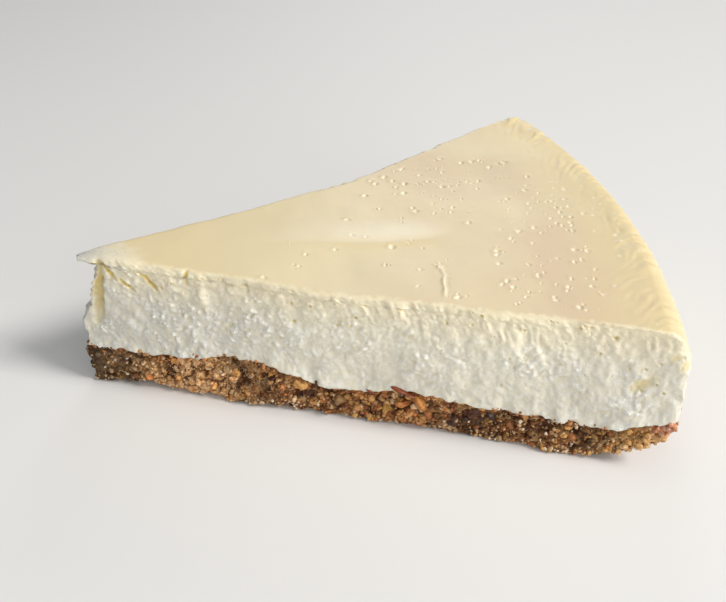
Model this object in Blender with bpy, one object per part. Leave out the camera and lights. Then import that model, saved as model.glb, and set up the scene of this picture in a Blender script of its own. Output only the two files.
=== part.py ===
"""A slice of baked cheesecake, one eighth of a round cake: a crumb base under a deep cheese filling.

The frame: metres, +Z up, the origin under the middle of the slice on the surface that it stands on.
The narrow tip points to -X, the curved rim to +X, and the two knife cuts face -Y (front) and +Y (back).

Each layer starts as a subdivided cube whose six sides become the six sides of the layer:
X runs from the tip to the rim, Y from the front cut to the back cut, and Z from underside to top.
"""

import math

import bmesh
import bpy

# Plan of the slice
SLANT = 0.120            # from the point where the two cuts would meet to the rim
WEDGE = math.radians(45)  # one eighth of the cake
RIM_RADIUS = 0.1442      # curve of the rim, flatter than SLANT, as the cuts meet short of the middle

# Heights
TIP_HEIGHT = 0.0307      # top of the slice at its tip
RIM_RISE_BACK = 0.0080   # how much the baked top climbs towards the rim at the back cut
RIM_RISE_FRONT = -0.0008
RISE_LATE = 2.6          # the higher, the later the top climbs
SAG = 0.0010             # the dip half way along the top
BASE_HEIGHT = 0.0092     # the crumb base, over most of the slice
BASE_RIM_HEIGHT = 0.0128  # where the base ends against the rim
BASE_CLIMBS_AT = 0.90    # where it begins to climb to that, from tip to rim

# Rounding at the rim, from the rounded foot of the tin and the baked shoulder
FOOT_IN = 0.0222
FOOT_UP = 0.0122
SHOULDER_IN = 0.0060
SHOULDER_DOWN = 0.0110

# The tip: the knife left it blunt and torn back under the baked skin, which hangs over as a lip
TIP_BLUNT = 0.0022       # from the meeting point of the cuts to the blunt end, low down
TEAR = 0.0048            # how much further back the end is, just under the lip
TEAR_FROM = 0.0125       # where the tear begins
LIP_BLUNT = 0.0033       # from the meeting point of the cuts to the end of the lip
LIP_HEIGHT = 0.0021
LIP_EASE = 0.4           # the share of the lip's height over which the torn end turns out into it
TORN_WAVE = 0.0004       # how far the torn end swells and sinks
TORN_TURN = 700.0        # and how fast that turns with height, in radians per metre

# Unevenness
CUT_WAVE = 0.0005        # how far the cut faces swell and sink
FRONT_WAVES = ((1.0, 9.0, 160.0, -1.0), (0.5, 23.0, -90.0, 0.0))
BACK_WAVES = ((1.0, 9.0, 160.0, 1.0), (0.5, 23.0, -90.0, 0.0))
CUT_FLAT_TO = 0.2        # the share of the slice, from the tip, in which they are flatter
CRUMB_WAVE = 0.0007      # how far the joint between the layers wanders up and down
CRUMB_WAVES = ((0.6, 13.0, 2.1, 0.4), (0.4, 31.0, -5.0, 1.3))
WANDER_ENDS = (0.80, 0.92)  # where that dies away towards the rim
BITTEN_EDGE = 0.0005     # how far the crumb has fallen away along its lower edges
BITTEN_UP_TO = 0.5       # over the lower half of the base
BITTEN_FROM = 0.1        # but less at the tip
GAP = 0.0003             # between the two layers

# Where the crumb stands high or low at the front cut: from tip to rim, half width, and height
MOUNDS = ((0.10, 0.13, 0.0010), (0.29, 0.16, 0.0030), (0.46, 0.13, -0.0016), (0.87, 0.12, -0.0007))

# Faces along each side of a layer: tip to rim, front to back, underside to top
FILLING_STEPS = (32, 18, 10)
BASE_STEPS = (32, 18, 7)
CLOSER = 0.11            # how much closer the steps come towards the tip and the rim
SHARP_ANGLE = math.radians(40)


def smooth(t):
    """0 below 0, 1 above 1, and an even S between them."""
    t = min(1.0, max(0.0, t))
    return t * t * (3 - 2 * t)


def rim_distance(angle):
    """How far the rim is from the meeting point of the cuts, in the direction angle from +X."""
    half_chord = SLANT * math.sin(WEDGE / 2)
    centre = SLANT * math.cos(WEDGE / 2) - math.sqrt(RIM_RADIUS**2 - half_chord**2)
    along = centre * math.cos(angle)
    return along + math.sqrt(along**2 - centre**2 + RIM_RADIUS**2)


def top_height(v, u):
    """Height of the baked top at v from tip to rim and u from front cut to back cut."""
    rise = RIM_RISE_FRONT + (RIM_RISE_BACK - RIM_RISE_FRONT) * u
    return TIP_HEIGHT + rise * v**RISE_LATE - SAG * math.sin(math.pi * v)


def bump(t, middle, width):
    """1 at the middle, falling evenly to nothing at width away from it."""
    return 1 - smooth(abs(t - middle) / width)


def waves(kinds, a, b):
    """A sum of sine waves. Each kind has its height, its turn along a and along b, and its start."""
    return sum(height * math.sin(turn_a * a + turn_b * b + start)
               for height, turn_a, turn_b, start in kinds)


def joint_height(v, u):
    """Height of the joint between the crumb base and the filling."""
    wander = waves(CRUMB_WAVES, v, u)
    starts, ends = WANDER_ENDS
    height = BASE_HEIGHT + CRUMB_WAVE * wander * (1 - smooth((v - starts) / (ends - starts)))
    for middle, width, rise in MOUNDS:
        height += rise * bump(v, middle, width) * (1 - u)
    climbed = smooth((v - BASE_CLIMBS_AT) / (1 - BASE_CLIMBS_AT))
    return height + (BASE_RIM_HEIGHT - BASE_HEIGHT) * climbed


def rim_inset(z, top):
    """How far the rim stands in from its full radius at height z, for the foot and the shoulder."""
    inset = 0.0
    if z < FOOT_UP:
        inset += FOOT_IN * (1 - math.sqrt(1 - (1 - z / FOOT_UP) ** 2))
    down = top - z
    if down < SHOULDER_DOWN:
        share = 1 - down / SHOULDER_DOWN
        inset += SHOULDER_IN * (1 - math.sqrt(max(0.0, 1 - share**2)))
    return inset


def tip_distance(z, top):
    """Where the slice ends at its tip, as a distance from the meeting point of the cuts."""
    in_lip = smooth((z - (top - LIP_HEIGHT)) / (LIP_EASE * LIP_HEIGHT))
    torn = TIP_BLUNT + TEAR * smooth((z - TEAR_FROM) / (top - LIP_HEIGHT - TEAR_FROM))
    torn += TORN_WAVE * math.sin(TORN_TURN * z)
    return torn + (LIP_BLUNT - torn) * in_lip


def place(v, u, z, top):
    """The point at height z that lies v of the way from tip to rim and u of the way from front to back."""
    angle = (u - 0.5) * WEDGE
    near, far = tip_distance(z, top), rim_distance(angle) - rim_inset(z, top)
    distance = near + (far - near) * v
    side = 2 * u - 1
    swell = CUT_WAVE * waves(FRONT_WAVES if u < 0.5 else BACK_WAVES, v, z)
    across = side**3 * swell * smooth(v / CUT_FLAT_TO)
    return (
        distance * math.cos(angle),
        distance * math.sin(angle) + across,
        z,
    )


def filling_point(v, u, w):
    """A point of the filling, with steps that come closer towards its rounded shoulder."""
    top = top_height(v, u)
    low = joint_height(v, u) + GAP
    return place(v, u, low + (top - low) * math.sin(w * math.pi / 2), top)


def base_point(v, u, w):
    """A point of the base, with steps that come closer towards its rounded foot."""
    z = joint_height(v, u) * (1 - math.cos(w * math.pi / 2))
    x, y, z = place(v, u, z, top_height(v, u))
    fallen = BITTEN_EDGE * (1 - smooth(w / BITTEN_UP_TO)) * abs(2 * u - 1) ** 4
    return x, y - math.copysign(fallen, u - 0.5) * smooth(v / BITTEN_FROM), z


def closer_at_ends(t):
    """Evenly spaced steps made closer towards both ends, where the curves are."""
    return t - CLOSER * math.sin(2 * math.pi * t)


def subdivided_cube(steps):
    """A unit cube in the corner of its axes, cut into a grid of faces on every side."""
    bm = bmesh.new()
    bmesh.ops.create_cube(bm, size=1.0)
    bmesh.ops.translate(bm, verts=bm.verts, vec=(0.5, 0.5, 0.5))
    for axis, count in enumerate(steps):
        lengthwise = [e for e in bm.edges
                      if abs(e.verts[0].co[axis] - e.verts[1].co[axis]) > 0.5]
        bmesh.ops.subdivide_edges(bm, edges=lengthwise, cuts=count - 1, use_grid_fill=True)
    return bm


def food_material(name, colour, roughness):
    material = bpy.data.materials.new(name)
    material.use_nodes = True
    shader = material.node_tree.nodes["Principled BSDF"]
    shader.inputs["Base Color"].default_value = (*colour, 1.0)
    shader.inputs["Roughness"].default_value = roughness
    shader.inputs["Metallic"].default_value = 0.0
    return material


def make_layer(name, steps, point, material, collection):
    """One layer of the slice: a subdivided cube bent into shape by the function point."""
    bm = subdivided_cube(steps)
    for vert in bm.verts:
        v, u, w = vert.co
        vert.co = point(closer_at_ends(v), u, w)
    mesh = bpy.data.meshes.new(name)
    bm.to_mesh(mesh)
    bm.free()
    mesh.shade_smooth()
    mesh.set_sharp_from_angle(angle=SHARP_ANGLE)
    mesh.materials.append(material)
    layer = bpy.data.objects.new(name, mesh)
    collection.objects.link(layer)
    return layer


def centre_on_origin(layers):
    """Moves the layers together, so that the origin is under the middle of their box."""
    corners = [layer.matrix_world @ v.co for layer in layers for v in layer.data.vertices]
    middle = [(min(c[i] for c in corners) + max(c[i] for c in corners)) / 2 for i in (0, 1)]
    for layer in layers:
        layer.location = (-middle[0], -middle[1], 0.0)


def main():
    for old in list(bpy.data.objects):
        bpy.data.objects.remove(old)
    collection = bpy.data.collections.new("cheesecake_slice")
    bpy.context.scene.collection.children.link(collection)

    biscuit = food_material("biscuit_crumb", (0.36, 0.20, 0.09), 0.85)
    cheese = food_material("baked_cheese", (0.80, 0.74, 0.58), 0.45)
    layers = [
        make_layer("biscuit_base", BASE_STEPS, base_point, biscuit, collection),
        make_layer("filling", FILLING_STEPS, filling_point, cheese, collection),
    ]
    centre_on_origin(layers)


main()
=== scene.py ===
"""The looks of a slice of baked cheesecake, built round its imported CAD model.

Each layer is a closed skin over a unit cube whose axes are v from the tip to the rim, u from the front
cut to the back cut, and w from the layer's underside to its top. Points are scattered over the six sides,
closer together where there is fine relief, and triangulated. The crumb is the core's relief, with thousands
of separate grains, lumps and flakes pressed into it.
"""

import math

import bmesh
import bpy
import numpy as np
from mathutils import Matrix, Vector
from mathutils.geometry import delaunay_2d_cdt


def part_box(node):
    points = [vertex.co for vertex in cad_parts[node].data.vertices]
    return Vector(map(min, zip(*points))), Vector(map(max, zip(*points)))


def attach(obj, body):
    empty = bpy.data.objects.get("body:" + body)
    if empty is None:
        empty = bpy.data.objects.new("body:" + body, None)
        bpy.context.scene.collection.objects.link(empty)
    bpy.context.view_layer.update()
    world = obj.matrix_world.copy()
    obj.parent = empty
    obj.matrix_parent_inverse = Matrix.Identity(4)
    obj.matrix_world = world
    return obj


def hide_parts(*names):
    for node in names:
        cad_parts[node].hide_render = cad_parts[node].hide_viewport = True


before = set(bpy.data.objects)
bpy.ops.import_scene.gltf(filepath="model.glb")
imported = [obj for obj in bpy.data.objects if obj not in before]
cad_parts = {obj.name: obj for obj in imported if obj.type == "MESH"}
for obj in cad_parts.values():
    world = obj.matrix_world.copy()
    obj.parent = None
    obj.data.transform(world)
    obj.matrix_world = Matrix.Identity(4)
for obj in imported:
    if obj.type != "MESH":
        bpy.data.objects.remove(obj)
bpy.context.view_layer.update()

MM = 0.001
rng = np.random.default_rng(20)

# ---- The slice's shape, as the CAD model has it, in metres ----
WEDGE = math.radians(45)      # between the two cuts
SLANT = 0.120                 # from the meeting point of the cuts to the rim
RIM_RADIUS = 0.1442
TIP_HEIGHT = 0.0307
RIM_RISE_BACK = 0.0080        # how much the top climbs towards the rim
RIM_RISE_FRONT = -0.0008
RISE_LATE = 2.6
SAG = 0.0010
BASE_HEIGHT = 0.0092
BASE_RIM_HEIGHT = 0.0128
BASE_CLIMBS_AT = 0.90
FOOT_IN = 0.0222              # rounding of the rim's foot and shoulder
FOOT_UP = 0.0122
SHOULDER_IN = 0.0060
SHOULDER_DOWN = 0.0110
TIP_BLUNT = 0.0022            # the torn tip, and the lip of skin that hangs over it
TEAR = 0.0048
TEAR_FROM = 0.0125
TORN_WAVE = 0.0004
TORN_TURN = 700.0
LIP_BLUNT = 0.0033
LIP_HEIGHT = 0.0021
LIP_EASE = 0.4
CUT_WAVE = 0.0005             # how far the cut faces swell and sink
CRUMB_WAVE = 0.0007           # how far the joint between the layers wanders
WANDER_ENDS = (0.80, 0.92)
MOUNDS = ((0.10, 0.13, 0.0010), (0.29, 0.16, 0.0030), (0.46, 0.13, -0.0016), (0.87, 0.12, -0.0007))


# ---- Numbers on arrays ----

def smooth(t):
    """0 below 0, 1 above 1, and an even S between them."""
    t = np.clip(t, 0.0, 1.0)
    return t * t * (3 - 2 * t)


def bump(t, middle, width):
    """1 at the middle, falling evenly to nothing at width away from it."""
    return 1 - smooth(np.abs(t - middle) / width)


def mix(a, b, share):
    return a + (b - a) * share


def hashed(cells, seed):
    """An even random number from 0 to 1 for each whole-number cell, the same on every run."""
    n = cells[..., 0] * 73856093 ^ cells[..., 1] * 19349663 ^ cells[..., 2] * 83492791 ^ seed * 2654435761
    n = n & 0xFFFFFFFF
    n = (n ^ n >> 15) * 0x2C1B3C6D & 0xFFFFFFFF
    n = (n ^ n >> 12) * 0x297A2D39 & 0xFFFFFFFF
    return ((n ^ n >> 15) & 0xFFFFFF) / 0xFFFFFF


def lumps(p, size, seed):
    """Soft noise from -1 to 1 at the points p, with lumps about size across."""
    q = p / size
    cell = np.floor(q).astype(np.int64)
    f = q - cell
    f = f * f * f * (f * (f * 6 - 15) + 10)
    total = 0.0
    for corner in np.ndindex(2, 2, 2):
        weight = np.prod(np.where(np.array(corner) == 1, f, 1 - f), axis=-1)
        total = total + weight * hashed(cell + np.array(corner), seed)
    return total * 2 - 1


def cells(p, size, seed):
    """Cell noise at the points p: distances to the two nearest seeds, in sizes, and the nearest one's own
    number from 0 to 1."""
    q = p / size
    home = np.floor(q).astype(np.int64)
    first = np.full(len(q), 9.0)
    second = np.full(len(q), 9.0)
    own = np.zeros(len(q))
    for step in np.ndindex(3, 3, 3):
        cell = home + np.array(step) - 1
        seed_at = cell + np.stack([hashed(cell, seed + k) for k in range(3)], axis=-1)
        d = np.linalg.norm(seed_at - q, axis=-1)
        closer = d < first
        second = np.where(closer, first, np.minimum(second, d))
        own = np.where(closer, hashed(cell, seed + 7), own)
        first = np.where(closer, d, first)
    return first, second, own


# ---- The shape of the slice, from the meeting point of its cuts ----

def rim_distance(angle):
    """How far the rim is in the direction angle from +X."""
    half_chord = SLANT * math.sin(WEDGE / 2)
    centre = SLANT * math.cos(WEDGE / 2) - math.sqrt(RIM_RADIUS**2 - half_chord**2)
    along = centre * np.cos(angle)
    return along + np.sqrt(along**2 - centre**2 + RIM_RADIUS**2)


def top_height(v, u):
    """Height of the baked top."""
    rise = RIM_RISE_FRONT + (RIM_RISE_BACK - RIM_RISE_FRONT) * u
    return TIP_HEIGHT + rise * np.maximum(v, 0) ** RISE_LATE - SAG * np.sin(np.pi * v)


def joint_height(v, u):
    """Height of the joint between the crumb base and the filling."""
    wander = 0.6 * np.sin(13.0 * v + 2.1 * u + 0.4) + 0.4 * np.sin(31.0 * v - 5.0 * u + 1.3)
    starts, ends = WANDER_ENDS
    height = BASE_HEIGHT + CRUMB_WAVE * wander * (1 - smooth((v - starts) / (ends - starts)))
    for middle, width, rise in MOUNDS:
        height = height + rise * bump(v, middle, width) * (1 - u)
    climbed = smooth((v - BASE_CLIMBS_AT) / (1 - BASE_CLIMBS_AT))
    return height + (BASE_RIM_HEIGHT - BASE_HEIGHT) * climbed


def rim_inset(z, top):
    """How far the rim stands in at height z, for its foot and its shoulder."""
    under = np.clip(1 - z / FOOT_UP, 0, 1)
    over = np.clip(1 - (top - z) / SHOULDER_DOWN, 0, 1)
    foot = FOOT_IN * (1 - np.sqrt(1 - under**2))
    return foot + SHOULDER_IN * (1 - np.sqrt(1 - over**2))


def tip_distance(z, top):
    """Where the slice ends at its tip, at height z."""
    in_lip = smooth((z - (top - LIP_HEIGHT)) / (LIP_EASE * LIP_HEIGHT))
    torn = TIP_BLUNT + TEAR * smooth((z - TEAR_FROM) / (top - LIP_HEIGHT - TEAR_FROM))
    torn = torn + TORN_WAVE * np.sin(TORN_TURN * z)
    return torn + (LIP_BLUNT - torn) * in_lip


def shares_at(p):
    """The shares v and u of places p, in metres from the meeting point of the cuts."""
    return np.hypot(p[:, 0], p[:, 1]) / SLANT, np.arctan2(p[:, 1], p[:, 0]) / WEDGE + 0.5


def outward(angle):
    """The level direction away from the meeting point of the cuts."""
    return np.stack([np.cos(angle), np.sin(angle), 0 * angle], -1)


class Spot:
    """Points of a skin: their share of each axis, their place, and their depth behind each side."""

    def __init__(self, vuw, z):
        self.v, self.u, self.w = vuw.T
        self.z = z
        self.top = top_height(self.v, self.u)
        self.joint = joint_height(self.v, self.u)
        self.angle = (self.u - 0.5) * WEDGE
        near = tip_distance(z, self.top)
        far = rim_distance(self.angle) - rim_inset(z, self.top)
        self.out = near + (far - near) * self.v
        self.from_front = self.out * np.sin(self.u * WEDGE)
        self.from_back = self.out * np.sin((1 - self.u) * WEDGE)
        self.from_top = self.top - z
        self.from_rim = far - self.out
        self.from_tip = self.out - near

    def place(self):
        """The places in metres, before any fine relief."""
        side = 2 * self.u - 1
        swell = np.sin(9.0 * self.v + 160.0 * self.z + side) + 0.5 * np.sin(23.0 * self.v - 90.0 * self.z)
        across = side**3 * CUT_WAVE * swell * smooth(self.v / 0.2)
        y = self.out * np.sin(self.angle) + across
        return np.stack([self.out * np.cos(self.angle), y, self.z], -1)


FRONT_OUT = np.array([-math.sin(WEDGE / 2), -math.cos(WEDGE / 2), 0.0])
BACK_OUT = FRONT_OUT * [1, -1, 1]
UP = np.array([0.0, 0.0, 1.0])


def push(places, way, by):
    """Moves each place by its own distance in by, along one direction for all or one for each."""
    places += way * by[:, None]


# ---- Closed skins over a unit cube ----

def jittered(width, height, step):
    """Points about step apart over a rectangle, in staggered rows and clear of its edges."""
    rows = np.arange(0.62 * step, height - 0.5 * step, 0.87 * step)
    points = []
    for i, y in enumerate(rows):
        x = np.arange((0.6 + 0.5 * (i % 2)) * step, width - 0.5 * step, step)
        points.append(np.stack([x, np.full(len(x), y)], -1))
    points = np.concatenate(points)
    return points + rng.uniform(-0.22, 0.22, points.shape) * step


def rings(x, y, radius):
    """Points in and round a pit at (x, y), close enough together to shape it."""
    found = [(x, y)]
    for share, count in ((0.45, 6), (0.8, 10), (1.15, 12), (1.7, 12)):
        turn = np.arange(count) * 2 * np.pi / count + share
        found += list(zip(x + radius * share * np.cos(turn), y + radius * share * np.sin(turn)))
    return found


def with_pits(points, pits):
    """The points, with rings round each pit in place of those it covers. A pit is its x, y and radius."""
    added = []
    for x, y, radius in pits:
        points = points[np.hypot(points[:, 0] - x, points[:, 1] - y) > 2.0 * radius]
        added = [p for p in added if math.hypot(p[0] - x, p[1] - y) > 0.35 * radius] + rings(x, y, radius)
    return np.concatenate([points, np.array(added)]) if added else points


def triangles(flat):
    """Delaunay triangles over flat points, as three indices each."""
    found = delaunay_2d_cdt([Vector(p) for p in flat], [], [], 0, 1e-10)
    origin = np.array([o[0] for o in found[3]])
    return origin[np.array([f for f in found[2] if len(f) == 3])]


def edge_points(counts):
    """The points on the cube's twelve edges, keyed by the two axes that are fixed and their values."""
    found = {}
    for axis in range(3):
        fixed = [k for k in range(3) if k != axis]
        for ends in np.ndindex(2, 2):
            line = np.zeros((counts[axis][ends] + 1, 3))
            line[:, axis] = np.linspace(0, 1, counts[axis][ends] + 1)
            line[:, fixed] = ends
            found[axis, ends] = line
    return found


def closed_skin(counts, insides, flatten):
    """A closed mesh over the unit cube: its points as (v, u, w), and its triangles.

    counts[axis][ends] is the number of steps on each edge, insides[axis, end] the inner points of each side,
    and flatten(axis, end, points) lays a side's points out flat at about their real distances.
    """
    edges = edge_points(counts)
    points, faces, start = [], [], 0
    for axis in range(3):
        for end in (0, 1):
            rim = [line for (along, ends), line in edges.items()
                   if along != axis and line[0][axis] == end and line[-1][axis] == end]
            side = np.concatenate([insides[axis, end]] + rim)
            side = np.unique(np.round(side, 7), axis=0)
            tri = triangles(flatten(axis, end, side))
            corners = side[tri]
            others = [k for k in range(3) if k != axis]
            on_one_edge = np.zeros(len(tri), bool)
            for k in others:
                for value in (0, 1):
                    on_one_edge |= (corners[:, :, k] == value).all(axis=1)
            faces.append(tri[~on_one_edge] + start)
            points.append(side)
            start += len(side)
    points, back = np.unique(np.concatenate(points), axis=0, return_inverse=True)
    return points, back.ravel()[np.concatenate(faces)]


def mesh_piece(name, places, faces, attributes, material):
    """A smooth-shaded object from points and faces, with named numbers on its points."""
    mesh = bpy.data.meshes.new(name)
    mesh.from_pydata(places.tolist(), [], faces.tolist())
    bm = bmesh.new()
    bm.from_mesh(mesh)
    bmesh.ops.recalc_face_normals(bm, faces=bm.faces)
    bm.to_mesh(mesh)
    bm.free()
    for key, values in attributes.items():
        kind = "FLOAT_COLOR" if values.ndim == 2 else "FLOAT"
        made = mesh.attributes.new(key, kind, "POINT")
        made.data.foreach_set("color" if values.ndim == 2 else "value", values.astype(np.float32).ravel())
    mesh.shade_smooth()
    mesh.materials.append(material)
    piece = bpy.data.objects.new(name, mesh)
    bpy.context.scene.collection.objects.link(piece)
    return piece


def origin_of_cuts():
    """Where the two cuts would meet, in the row frame, worked out from the CAD model."""
    low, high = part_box("filling")
    ends = [v.co.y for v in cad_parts["filling"].data.vertices if v.co.x < low.x + 1.0 * MM]
    return np.array([high.x - rim_distance(0.0), sum(ends) / len(ends), 0.0])


APEX = origin_of_cuts()


# The sides of a layer laid out flat, in mm
LENGTH = 120.0            # of a cut
TIP_WIDTH = 3.0
RIM_WIDTH = 92.0
PLAN_WIDTH = 94.0         # of the plan, a little wider than the slice
END_STRETCH = 1.3         # how much taller the rim is laid out than a cut, because it is curved
TIP_ENDS = 0.004          # about where the tip ends, in metres from the meeting point of the cuts


class Layer:
    """One layer of the slice: how its w runs up between its underside and its top."""

    def __init__(self, across, underside, top, share_of, w_of):
        self.across = across        # height in mm that its sides are laid out with
        self.underside = underside
        self.top = top
        self.share_of = share_of    # share of the height at w
        self.w_of = w_of            # and the other way round

    def spot(self, vuw):
        v, u, w = vuw.T
        low, high = self.underside(v, u), self.top(v, u)
        return Spot(vuw, low + (high - low) * self.share_of(w))

    def flatten(self, axis, end, vuw):
        """Points of one side laid out flat."""
        v, u, w = vuw.T
        if axis == 0:
            width, stretch = (RIM_WIDTH, END_STRETCH) if end else (TIP_WIDTH, 1.0)
            return np.stack([u * width, w * self.across * stretch], -1)
        if axis == 1:
            return np.stack([v * LENGTH, self.share_of(w) * self.across], -1)
        s = self.spot(vuw)
        return np.stack([s.out * np.cos(s.angle), s.out * np.sin(s.angle)], -1) / MM

    def on_cut(self, u, flat):
        """The (v, u, w) of points laid out flat on a cut face."""
        v, share = flat[:, 0] / LENGTH, flat[:, 1] / self.across
        return np.stack([v, np.full(len(flat), float(u)), self.w_of(share)], -1)

    def cut_spots(self, u, marks):
        """Where marks, given as mm from the meeting point and mm up, lie on a cut face laid out flat."""
        out, z = marks[:, 0] * MM, marks[:, 1] * MM
        top = top_height((out - TIP_ENDS) / (SLANT - TIP_ENDS), u)
        near = tip_distance(z, top)
        v = np.clip((out - near) / (SLANT - rim_inset(z, top) - near), 0.003, 0.997)
        low, high = self.underside(v, u), self.top(v, u)
        return np.stack([v * LENGTH, (z - low) / (high - low) * self.across], -1)

    def lifted(self, w, flat, clear):
        """The (v, u, w) of places of the plan on the top or underside, at least clear mm inside the cuts."""
        out, angle = np.hypot(*flat.T) * MM, np.arctan2(flat[:, 1], flat[:, 0])
        u = angle / WEDGE + 0.5
        share = np.full(len(flat), float(w))
        v = out / SLANT
        for _ in range(2):
            edge = self.spot(np.stack([v, u, share], -1))
            near = tip_distance(edge.z, edge.top)
            v = (out - near) / (rim_distance(angle) - rim_inset(edge.z, edge.top) - near)
        aside = np.minimum(out * np.sin(u * WEDGE), out * np.sin((1 - u) * WEDGE)) / MM
        inside = (v > 0.005) & (v < 0.995) & (aside > clear) & (u > 0) & (u < 1)
        return np.stack([v, u, share], -1)[inside]


def plain(v, u):
    return 0.0 * v


cheese_layer = Layer(
    24.0,
    lambda v, u: joint_height(v, u) - 0.3 * MM,
    top_height,
    lambda w: np.sin(w * np.pi / 2),
    lambda share: np.arcsin(np.clip(share, 0, 1)) * 2 / np.pi,
)
crumb_layer = Layer(
    10.0,
    plain,
    joint_height,
    lambda w: 1 - np.cos(w * np.pi / 2),
    lambda share: np.arccos(np.clip(1 - share, 0, 1)) * 2 / np.pi,
)


# ---- The marks on the filling ----

# Where the largest pits of the top are, three together: mm from the meeting point, share from front to
# back, and mm across
NAMED_PITS = [
    (86, 0.30, 1.4), (95, 0.83, 1.0), (99, 0.78, 1.2), (64, 0.23, 0.9), (74, 0.23, 0.8), (66, 0.68, 0.9),
    (73, 0.82, 1.0), (80, 0.86, 0.8), (93, 0.18, 1.2), (100, 0.055, 1.3), (104, 0.11, 0.9), (98, 0.13, 1.1),
    (88, 0.12, 1.0), (80, 0.56, 0.9), (102, 0.38, 1.0), (103, 0.29, 1.2), (78, 0.05, 1.2), (47, 0.21, 0.8),
]
# Where small pits crowd together: the same first two, spread in mm, how many
PIT_CROWDS = [(82.0, 0.80, 9.0, 60), (103.0, 0.48, 12.0, 90), (93.0, 0.10, 10.0, 40), (76.0, 0.45, 30.0, 60)]

# Tears and slits in the front cut: from and to, in mm from the meeting point and mm up, then half width,
# depth and how strongly the inside is painted amber, as painted shade and glow
SLITS = [
    (7.9, 29.2, 5.4, 15.5, 0.95, 1.50, 0.60),
    (8.9, 29.2, 11.2, 26.4, 0.42, 0.65, 1.00),
    (12.3, 26.4, 15.0, 24.0, 0.32, 0.55, 0.95),
    (16.9, 28.0, 20.3, 24.5, 0.30, 0.60, 0.95),
    (26.4, 30.0, 26.2, 27.2, 0.45, 0.40, 0.80),
    (38.6, 28.6, 38.4, 27.2, 0.35, 0.35, 0.35),
    (110.6, 17.2, 114.0, 20.0, 0.95, 0.32, 0.40),
    (116.3, 24.7, 117.2, 25.3, 0.85, 0.22, 0.30),
    (118.7, 22.9, 119.1, 24.2, 0.75, 0.22, 0.42),
    (28.9, 29.6, 29.6, 22.0, 0.85, -0.40, 0.00),
]


def plan_of(out, share):
    """Flat places in mm from mm out and the share from front to back."""
    angle = (np.asarray(share) - 0.5) * WEDGE
    return np.stack([out * np.cos(angle), out * np.sin(angle)], -1)


def apart(pits):
    """The pits that don't crowd one before them."""
    kept = []
    for pit in pits:
        if all(math.hypot(pit[0] - k[0], pit[1] - k[1]) > pit[2] + k[2] for k in kept):
            kept.append(pit)
    return np.array(kept)


def top_pits():
    """All the pits of the top, as flat x and y, radius and depth in mm."""
    found = []
    for out, share, across in NAMED_PITS:
        radius = across * np.array([0.55, 0.38, 0.28])
        turn = rng.uniform(0, 2 * np.pi) + np.array([0.0, 2.4, 4.0])
        apart_by = across * np.array([0.15, 0.95, 0.85])
        places = plan_of(out, share) + np.stack([apart_by * np.cos(turn), apart_by * np.sin(turn)], -1)
        found.append(np.column_stack([places, radius, 0.55 * radius]))
    for out, share, spread, count in PIT_CROWDS:
        places = plan_of(out, share) + rng.normal(0, spread / 1.6, (count, 2))
        radius = 0.26 + 0.42 * rng.random(count) ** 1.4
        found.append(np.column_stack([places, radius, radius * rng.uniform(0.45, 0.75, count)]))
    pits = np.concatenate(found)
    out, angle = np.hypot(pits[:, 0], pits[:, 1]), np.arctan2(pits[:, 1], pits[:, 0])
    aside = out * np.sin(WEDGE / 2 - np.abs(angle))
    return apart(pits[(out > 24) & (out < 112) & (aside > 1.6)])


def cut_pits(count, named=()):
    """Pits of a cut face, as mm out, mm up, radius and depth."""
    out = rng.uniform(14, 117, count)
    up = 29.0 - 15.0 * rng.uniform(0, 1, count) ** 1.6
    radius = rng.uniform(0.20, 0.45, count)
    pits = np.column_stack([out, up, radius, radius * rng.uniform(0.5, 1.0, count)])
    return apart(np.concatenate([np.array(named).reshape(-1, 4), pits]))


def slit_points(start, end, half_width):
    """Points along a slit and across it."""
    start, end = np.array(start), np.array(end)
    along = end - start
    length = np.linalg.norm(along)
    across = np.array([-along[1], along[0]]) / length
    steps = np.linspace(-0.05, 1.05, max(4, int(length / 0.3)))
    offsets = np.array([-1.6, -1.0, -0.6, -0.25, 0.0, 0.25, 0.6, 1.0, 1.6]) * half_width
    return (start + steps[:, None, None] * along + offsets[None, :, None] * across).reshape(-1, 2)


def to_segment(x, y, start, end):
    """Distance of the points (x, y) from a segment, and how far along it they are."""
    along = np.array(end) - np.array(start)
    share = np.clip(((x - start[0]) * along[0] + (y - start[1]) * along[1]) / (along @ along), 0, 1)
    return np.hypot(x - start[0] - share * along[0], y - start[1] - share * along[1]), share


def pit_shape(x, y, radius):
    """A pit of depth 1 at (0, 0) with a raised lip, higher towards the tip and the back."""
    t = np.hypot(x, y) / radius
    lip = 0.18 + 0.22 * (y - x) / (radius * np.maximum(t, 0.3)) / math.sqrt(2)
    return -np.exp(-(t / 0.66) ** 3) + lip * np.exp(-((t - 1.10) / 0.36) ** 2)


def add_pits(x, y, pits):
    """The relief of all the pits at points (x, y) in mm, and how far inside one each is, from 0 to 1."""
    relief, inside = np.zeros(len(x)), np.zeros(len(x))
    for px, py, radius, depth in pits:
        close = (np.abs(x - px) < 3 * radius) & (np.abs(y - py) < 3 * radius)
        shape = pit_shape(x[close] - px, y[close] - py, radius)
        relief[close] += depth * shape
        inside[close] = np.maximum(inside[close], np.clip(-shape, 0, 1) * min(1.0, depth / 0.3))
    return relief, inside


# ---- The filling ----

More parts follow.
